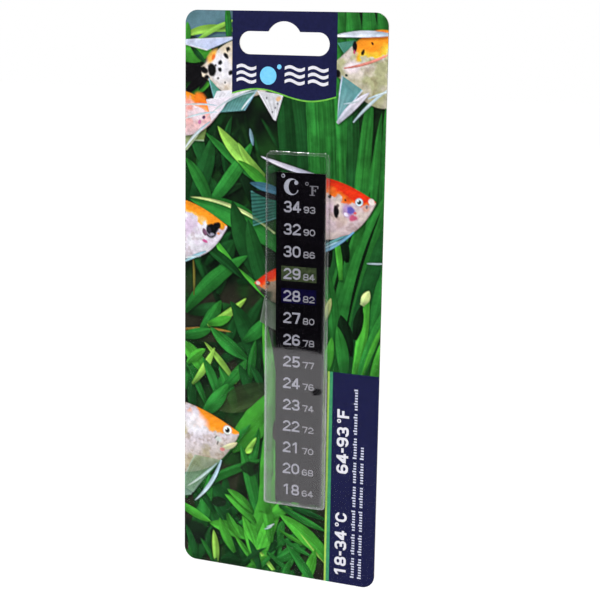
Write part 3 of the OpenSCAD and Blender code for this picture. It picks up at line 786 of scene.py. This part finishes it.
def paint_top_fish():
    for x, y, width in (
            (-2, 18.4, 1.4), (-3, 21, 2.2), (-2, 24, 2.4), (-1, 29, 2.2), (1, 27, 1.6)):
        leaf((10, 20.4), (x, y), 1.35 * width, 0.04, BLACK, light=1.1, blunt=0.7, foot=0.9,
             ribs=0.05)
    leaf((9, 21.6), (5, 27), 1.2, 0, BLACK, blunt=0.5)
    fin((8, 13.4), (20, 8.6), (-2, 11.2), rgb(186, 194, 226), WHITE, tip_end=(-1, 10))
    fish((38, 16), (6.2, 20.4), 19, CREAM, WHITE, CREAM, 0.2)
    blot((13, 19), 6, WHITE, 1.1, 0, 0.3, 0.8, 0.5)
    blot((10, 15.4), 1.8, rgb(230, 170, 60), 2.2, 38, 0.3, 0.9, 0.6)
    blot((10.5, 15.6), 0.9, rgb(214, 104, 30), 1.6, 35, 0.3, 0.9, 0.6)
    for x, y, r, tall in (
            (15.8, 13, 0.8, 1.2), (15.3, 15.2, 0.6, 1.6), (13.2, 17.3, 0.6, 1.1),
            (13, 19.8, 0.65, 1),
            (9.9, 20, 1.15, 1.5), (17, 20.8, 0.8, 1.2), (6.6, 19.8, 1.5, 0.8), (11.4, 18.4, 0.3, 1),
            (8, 22.4, 0.9, 0.7), (12.4, 22.6, 0.4, 1), (15, 24, 0.35, 1.2)):
        blot((x, y), 1.25 * r, BLACK, tall, rng.uniform(-30, 30), 0.6)
    fin((8.8, 22.6), (13.4, 27), (11.4, 31.6), GLASS * 1.2, SKY)
    fin((16, 27), (27, 25.8), (13, 34), GLASS, SKY * 0.9, tip_end=(22.4, 33))
    fin((12, 27), (27, 25.4), (10, 33.4), WHITE, WHITE * 0.95, 0.05, tip_end=(17, 29.6))
    fin((27, 26.4), (36.4, 27.4), (33, 35.6), rgb(206, 204, 210), WHITE, tip_end=(33.8, 36), rays=4)
    blot((34.8, 28.8), 1, rgb(216, 160, 90), 0.9, 0, 0.4, 0.7)
    for x, y in ((30.4, 28.6), (33.6, 31.8), (32.6, 33.2), (34.4, 30.4)):
        blot((x, y), 0.35, rgb(90, 90, 100), 1.3, 20, 0.3, 0.8)

    fin((9, 35.6), (7, 44), (0, 47.6), rgb(110, 132, 70), rgb(170, 190, 160), tip_end=(-4, 44))
    fin((-4, 36), (9.4, 36.4), (-4, 48), rgb(126, 140, 84), rgb(180, 190, 170), tip_end=(0.6, 47.4))
    fish((13, 33.6), (-18, 34), 16, ORANGE, ROSE, rgb(226, 206, 214), 0.3, 0.62,
         cap_low=rgb(236, 170, 140))
    blot((5.4, 30), 3.2, rgb(240, 122, 34), 0.9, 20, 0.3, 0.9, 0.5)
    fin((8, 30), (10, 37), (17, 28.4), rgb(220, 208, 220), WHITE, tip_end=(14, 33))
    blot((7, 36), 0.75, rgb(120, 60, 120), 0.9, 0, 0.3)
    blot((7.1, 35.8), 0.35, BLACK)
    blot((5.4, 37.6), 0.7, rgb(206, 130, 170), 1.3, 0, 0.3)
    ray((27, 26.4), (8, 36.4), 0.45, 0.17)
    ray((25.6, 27.6), (21, 33), 0.5, 0.02)
    ray((9.4, 37.4), (-1, 48), 0.8, 0.1)
    ray((12, 31.8), (-1, 32), 0.4, 0.05)
    ray((12, 34), (-1, 37), 0.5, 0.08)

    fin((55.6, 10), (61.6, 9), (58.4, 14), GLASS * 0.8, GLASS * 1.3)
    fish((94, 15), (54.6, 18), 25, ORANGE, rgb(214, 200, 194), rgb(168, 166, 128), 0.4, 0.2,
         cap_low=rgb(226, 196, 60), dip=0)
    blot((61, 17.6), 4.4, rgb(224, 208, 214), 0.62, -12, 0.2, 0.9, 0.6)
    ray((74, 7), (54, 7.8), 1.9, 0.05, rgb(206, 216, 234))
    leaf((58, 18), (74, 12.8), 0.8, 0.09, rgb(206, 136, 124), light=1.1, blunt=0.5, foot=0.9,
         shade=0)
    leaf((61.6, 12.6), (61.4, 9), 1.5, 0, BLACK, blunt=0.5, foot=1, shade=0)
    blot((61.4, 12.8), 0.4, rgb(190, 70, 110), 2, 0, 0.2)
    blot((64.4, 12.7), 0.6, BLACK, 1.7, 25, 0.3)
    blot((67.6, 9.9), 0.4, BLACK, 1.6, -30, 0.3)
    blot((55.7, 19.9), 1.2, BLACK, 1.2, 0, 0.4)
    blot((58.8, 20.3), 0.55, rgb(26, 50, 46), 1, 0, 0.3)
    fin((57.2, 20.4), (64.6, 25), (56, 35.8), rgb(82, 140, 142), rgb(196, 206, 226), 0.02, rays=3)
    leaf((56, 35.9), (67, 25.6), 2.4, -0.06, rgb(204, 204, 222), light=1.05, foot=0.9, ribs=0.05)
    ray((58, 29.6), (64, 28.2), 0.35, 0.05)
    ray((61.6, 35.4), (74, 24), 0.8, -0.07)
    ray((66.6, 27.6), (74, 25), 0.6, -0.03)


def paint_middle_fish():
    fin((35.6, 60), (36.6, 68), (25, 60.2), rgb(34, 88, 74), rgb(72, 128, 126), tip_end=(26, 72),
        strength=0.72, comb=0.42)
    leaf((37, 60.4), (24.6, 57.4), 2.8, 0.03, rgb(60, 106, 132), light=1.1, strength=0.9)
    leaf((38, 63), (25.4, 60), 1.9, 0.02, BLACK, blunt=0.6, shade=0)
    ray((51, 54), (28.6, 48.2), 1.5, -0.05, rgb(206, 208, 232))
    fish((70, 61.4), (35, 65), 21, RED, rgb(198, 170, 190), rgb(206, 188, 182), 0.34, 0.3,
         cap_low=rgb(222, 120, 40))
    blot((66.6, 63.6), 1.8, rgb(206, 150, 130), 0.8, 20, 0.2, 0.8, 0.6)
    blot((68.6, 61.2), 1.3, rgb(222, 208, 204), 0.9, 40, 0.15)
    blot((67, 63), 0.5, rgb(120, 106, 110), 1.4, 0, 0.2)
    blot((60.4, 65), 2.8, rgb(160, 128, 178), 1.1, 0, 0.4, 0.85, 0.6)
    blot((58, 68.6), 2.2, rgb(178, 150, 140), 1.4, 20, 0.5, 0.6, 0.6)
    blot((62.2, 67), 2.6, rgb(186, 66, 104), 0.7, -25, 0.5, 0.9, 0.6)
    blot((61.4, 64.6), 1.9, rgb(84, 76, 166), 0.8, 20, 0.5, 0.9, 0.5)
    blot((59.8, 66), 0.9, rgb(214, 206, 226), 0.8, 20, 0.4)
    blot((63, 65.2), 0.7, rgb(206, 90, 80), 0.7, 0, 0.4)
    blot((59.4, 61.2), 0.35, BLACK, 1.3, -40, 0.3)
    blot((56.2, 65.2), 0.95, BLACK, 2.3, -6, 0.4)
    blot((56.6, 63.4), 0.7, rgb(60, 34, 44), 1.2, -6, 0.5, 0.8)
    blot((53.7, 60.3), 0.75, rgb(40, 16, 24), 1.1, 0, 0.4)
    eye((64.3, 61.6), 1.4, rgb(206, 220, 232))
    ray((62.6, 71.6), (50, 80), 0.9, -0.07, rgb(116, 170, 206))
    ray((60.6, 72.8), (52, 77), 0.6, 0.05, rgb(96, 150, 160))
    ray((58, 74.8), (52, 78), 0.5, 0.05, rgb(150, 190, 210))

    fish((16, 73), (-18, 74.4), 21, ORANGE, rgb(206, 184, 208), WHITE, 0.28, 0.34,
         cap_low=rgb(236, 190, 110))
    blot((14, 73), 1.5, rgb(222, 146, 30), 0.9, 20, 0.3)
    blot((10.2, 74.4), 3.0, BLACK, 1, 40, 0.5)
    blot((12, 73.2), 1.6, BLACK, 1.1, 10, 0.4)
    blot((7.4, 75.4), 0.9, rgb(120, 84, 110), 1.8, -20, 0.35)
    blot((9.4, 76), 1.2, rgb(150, 140, 160), 0.6, 30, 0.4, 0.7)
    blot((9.2, 74.8), 1, rgb(40, 36, 48), 1.6, -20, 0.3)
    blot((12.8, 75.6), 0.6, rgb(214, 140, 60), 0.8, 0, 0.3)
    blot((10.4, 76), 0.9, rgb(170, 166, 186), 0.5, 10, 0.3, 0.7)
    blot((7.6, 78.6), 1.3, rgb(196, 96, 150), 0.5, 25, 0.4)
    ray((8, 82.2), (-1, 86.8), 1, 0.05, rgb(150, 190, 206))
    ray((6, 84), (0, 85), 0.5, 0.05)

    fin((31, 94), (36, 95), (29, 105), rgb(70, 84, 66), rgb(110, 120, 110), tip_end=(36, 108))
    fish((26.8, 91.8), (48, 90), 13, RED, rgb(150, 130, 110), rgb(60, 70, 54), 0.42,
         cap_low=rgb(222, 110, 50))
    blot((28, 91.6), 0.9, rgb(214, 196, 190), 0.8, 0, 0.3)
    blot((30.6, 92.8), 1, rgb(190, 120, 80), 0.8, 0, 0.3)
    eye((31.8, 91.4), 0.75, rgb(130, 80, 60))
    blot((30, 94.6), 1.3, rgb(30, 34, 30), 0.8, 20, 0.4, 0.8)


def paint_low_fish():
    fin((-1, 156), (10, 160), (-2, 172), rgb(96, 130, 104), rgb(160, 182, 180), tip_end=(2.4, 171))
    fish((21.2, 146), (-26, 150.4), 27, ORANGE, rgb(212, 200, 210), rgb(178, 166, 138), 0.3, 0.62,
         cap_low=rgb(236, 160, 70))
    blot((4, 144), 6, rgb(228, 224, 232), 0.9, 0, 0.3, 0.85, 0.6)
    leaf((15, 152), (20.6, 149.4), 1.8, 0.1, rgb(206, 206, 168), light=1.1, foot=1, shade=0)
    blot((13.4, 149), 1.4, rgb(196, 200, 196), 0.8, 40, 0.4)
    for x, y, turn in ((12.2, 148.4, 40), (13, 150.4, 20)):
        blot((x, y), 0.3, rgb(60, 64, 60), 3.2, turn, 0.3, 0.7)
    blot((14.8, 152.6), 1.1, rgb(206, 120, 120), 0.8, 20, 0.4, 0.8)
    eye((16.8, 145.3), 1.75, rgb(232, 234, 230))
    fin((4, 156), (14.4, 156.6), (-1, 168), rgb(106, 136, 96), rgb(150, 184, 166), 0.04,
        tip_end=(3.4, 170), strength=0.55, comb=0.2)
    ray((14.4, 156.6), (4, 173), 1.2, -0.14, rgb(176, 204, 222))
    ray((12.6, 158), (1, 168), 0.8, -0.05, rgb(170, 196, 196))


def trimmed_to_card(places):
    """Moves x, z places that lie off the card to its outline; also says which those were."""
    margin = 0.03 * MM
    radius = CORNER_R * MM
    low = np.array([CARD_LOW.x, CARD_LOW.z]) + margin + radius
    high = np.array([CARD_HIGH.x, CARD_HIGH.z]) - margin - radius
    inner = np.clip(places, low, high)
    out = places - inner
    gap = np.linalg.norm(out, axis=1)
    outside = gap > radius
    pull = np.where(outside, radius / np.maximum(gap, 1e-9), 1.0)
    return inner + out * pull[:, None], outside


def under_header(centres):
    """Which places lie well under the header panel, where the hang slot is."""
    low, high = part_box("header_panel")
    x, z = centres[:, 0], centres[:, 1]
    return (x > low.x + MM) & (x < high.x - MM) & (z > low.z + 6 * MM)


def picture_band(name, first_row, last_row, material):
    """One band of the picture, between two of the canvas's rows, as a grid mesh."""
    rows = slice(first_row, last_row + 1)
    x, z = CARD_LOW.x + canvas.x[rows] * MM, CARD_HIGH.z - canvas.y[rows] * MM
    places, outside = trimmed_to_card(np.stack([x.ravel(), z.ravel()], axis=-1))
    numbers = np.arange(x.size).reshape(x.shape)
    corners = numbers[:-1, :-1], numbers[1:, :-1], numbers[1:, 1:], numbers[:-1, 1:]
    faces = np.stack(corners, axis=-1).reshape(-1, 4)
    faces = faces[~outside[faces].all(axis=1) & ~under_header(places[faces].mean(axis=1))]
    used, faces = np.unique(faces, return_inverse=True)
    points = np.insert(places[used], 1, PICTURE_DEPTH, axis=1)
    piece = new_piece(name, points.tolist(), faces.reshape(-1, 4).tolist(), material)
    inks = np.clip(canvas.colours[rows].reshape(-1, 3)[used], 0, 1)
    inks = np.insert(inks, 3, 1, axis=1).astype(np.float32)
    layer = piece.data.attributes.new("Ink", "FLOAT_COLOR", "POINT")
    layer.data.foreach_set("color", inks.ravel())
    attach(piece, "pack")


def paint_picture():
    paint_ground()
    paint_far_plants()
    paint_top_plants()
    paint_middle_plants()
    paint_right_plants()
    paint_low_plants()
    paint_top_fish()
    paint_middle_fish()
    paint_low_fish()
    paint_low_leaves()
    paint_under_pocket()
    canvas.crisp(0.7)


def build_picture():
    bands = ("picture_top", "picture_middle", "picture_low")
    material = picture_ink()
    edges = [round(i * (canvas.rows - 1) / len(bands)) for i in range(len(bands) + 1)]
    for name, first_row, last_row in zip(bands, edges, edges[1:]):
        picture_band(name, first_row, last_row, material)


paint_picture()
build_picture()


# ---- the small radius at the foot of the blister's pocket, where its wall meets the flange ----

POCKET_LEAN = math.radians(0.3)
POCKET_R = 1.2 * MM
FOOT_R = 0.4 * MM
FOOT_GAP = 0.01 * MM
CORNER_STEPS, FOOT_STEPS = 8, 6


def pocket_outline(out):
    """Points round the pocket's foot, moved outwards by out."""
    low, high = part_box("blister_pocket")
    wide, tall = high.x - low.x - 2 * POCKET_R, high.z - low.z - 2 * POCKET_R
    cos, sin = math.cos(POCKET_LEAN), math.sin(POCKET_LEAN)
    half_w = (wide * cos - tall * sin) / (cos * cos - sin * sin) / 2
    half_h = (tall * cos - wide * sin) / (cos * cos - sin * sin) / 2
    middle = (low + high) / 2
    points = []
    for corner, (side, end) in enumerate(((1, 1), (-1, 1), (-1, -1), (1, -1))):
        for step in range(CORNER_STEPS + 1):
            angle = math.radians(90 * corner + 90 * step / CORNER_STEPS)
            x = side * half_w + (POCKET_R + out) * math.cos(angle)
            z = end * half_h + (POCKET_R + out) * math.sin(angle)
            points.append((middle.x + x * cos - z * sin, middle.z + x * sin + z * cos))
    return points


def build_pocket_foot():
    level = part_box("blister_flange")[0].y - FOOT_GAP
    points, faces = [], []
    for ring in range(FOOT_STEPS + 1):
        angle = math.pi / 2 * ring / FOOT_STEPS
        out, up = FOOT_R * (1 - math.cos(angle)) + FOOT_GAP, FOOT_R * (1 - math.sin(angle))
        points += [(x, level - up, z) for x, z in pocket_outline(out)]
    count = len(points) // (FOOT_STEPS + 1)
    for ring in range(FOOT_STEPS):
        for i in range(count):
            a, b = ring * count + i, ring * count + (i + 1) % count
            faces.append((a, b, b + count, a + count))
    film = clear_film("foot_film", 1.5, 0.08, (0.05, 0.1), 0.45, 0.2)
    piece = new_piece("pocket_foot", points, faces, film)
    piece.data.shade_smooth()
    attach(piece, "pack")


build_pocket_foot()


# ---- stage: a pale floor, a white surround and soft light from the front left ----

FLOOR_Z = CARD_LOW.z - 0.1 * MM
DARK_FROM = 0.33
STAGE_SIZE = 3.0
LIGHTS = (
    ("key", (-0.62, -1.25, 0.42), 0.22, 9.6),
    ("fill", (0.9, -0.9, 0.9), 0.9, 4.8),
    ("back_fill", (-0.4, 1.2, 0.8), 0.9, 8),
)


def flat_panel(name, low, high, material, only_reflected=False):
    """A level or an upright rectangle between two opposite corners."""
    (x, y, z), (far_x, far_y, far_z) = low, high
    corners = [(x, y, z), (far_x, y, z), (far_x, far_y, far_z), (x, far_y, far_z)]
    panel = new_piece(name, corners, [(0, 1, 2, 3)], material)
    if only_reflected:
        for rays in ("camera", "diffuse", "transmission", "shadow"):
            setattr(panel, "visible_" + rays, False)


def stage_material(name, colour, glow=0.0):
    """A dull stage surface; glow lifts it towards plain white, so that it holds no hard shadow."""
    material, tree = new_tree(name)
    mottle = spread(tree, grain(tree, 12, 3), 0, 1)
    shade = mix_colour(tree, mottle, colour, tuple(0.985 * c for c in colour[:3]) + (1,))
    finish_surface(tree, shade, 0.85, Specular_IOR_Level=0.0, Emission_Color=(1, 1, 1, 1),
                   Emission_Strength=glow)
    return material


def make_stage():
    """The floor, and a dark flag that only reflections see: the photo's unlit room."""
    wide, back = STAGE_SIZE, -1.6
    pale = stage_material("floor_pale", (0.3, 0.3, 0.3, 1), 0.86)
    dark = stage_material("flag_dark", (0.010, 0.008, 0.012, 1))
    low = FLOOR_Z + MM
    flat_panel("floor", (-wide, -wide, FLOOR_Z), (wide, wide, FLOOR_Z), pale)
    flat_panel("flag_low", (-wide, back, low), (wide, -DARK_FROM, low), dark, True)
    flat_panel("flag_tall", (-wide, back, low), (wide, back, 1.6), dark, True)


def make_world():
    world = bpy.data.worlds.new("surround")
    world.use_nodes = True
    tree = world.node_tree
    tree.nodes.clear()
    rays = add(tree, "LightPath")
    seen = add(tree, "Background", {"Color": (1, 1, 1, 1), "Strength": 1.0})
    light = add(tree, "Background", {"Color": (0.98, 0.99, 1.0, 1), "Strength": 0.5})
    both = add(tree, "MixShader", {
        0: rays.outputs["Is Camera Ray"], 1: light.outputs[0], 2: seen.outputs[0]})
    add(tree, "OutputWorld", {"Surface": both.outputs[0]})
    bpy.context.scene.world = world


def make_light(name, spot, size, power):
    """A square soft light that faces the middle of the card."""
    data = bpy.data.lights.new(name, "AREA")
    data.shape = "SQUARE"
    data.size = size
    data.energy = power
    lamp = bpy.data.objects.new(name, data)
    lamp.location = spot
    lamp.rotation_mode = "QUATERNION"
    middle = Vector((0, 0, (CARD_LOW.z + CARD_HIGH.z) / 2))
    lamp.rotation_quaternion = (middle - Vector(spot)).to_track_quat("-Z", "Y")
    bpy.context.scene.collection.objects.link(lamp)


make_stage()
make_world()
for light in LIGHTS:
    make_light(*light)
bpy.context.scene.view_settings.view_transform = "Standard"
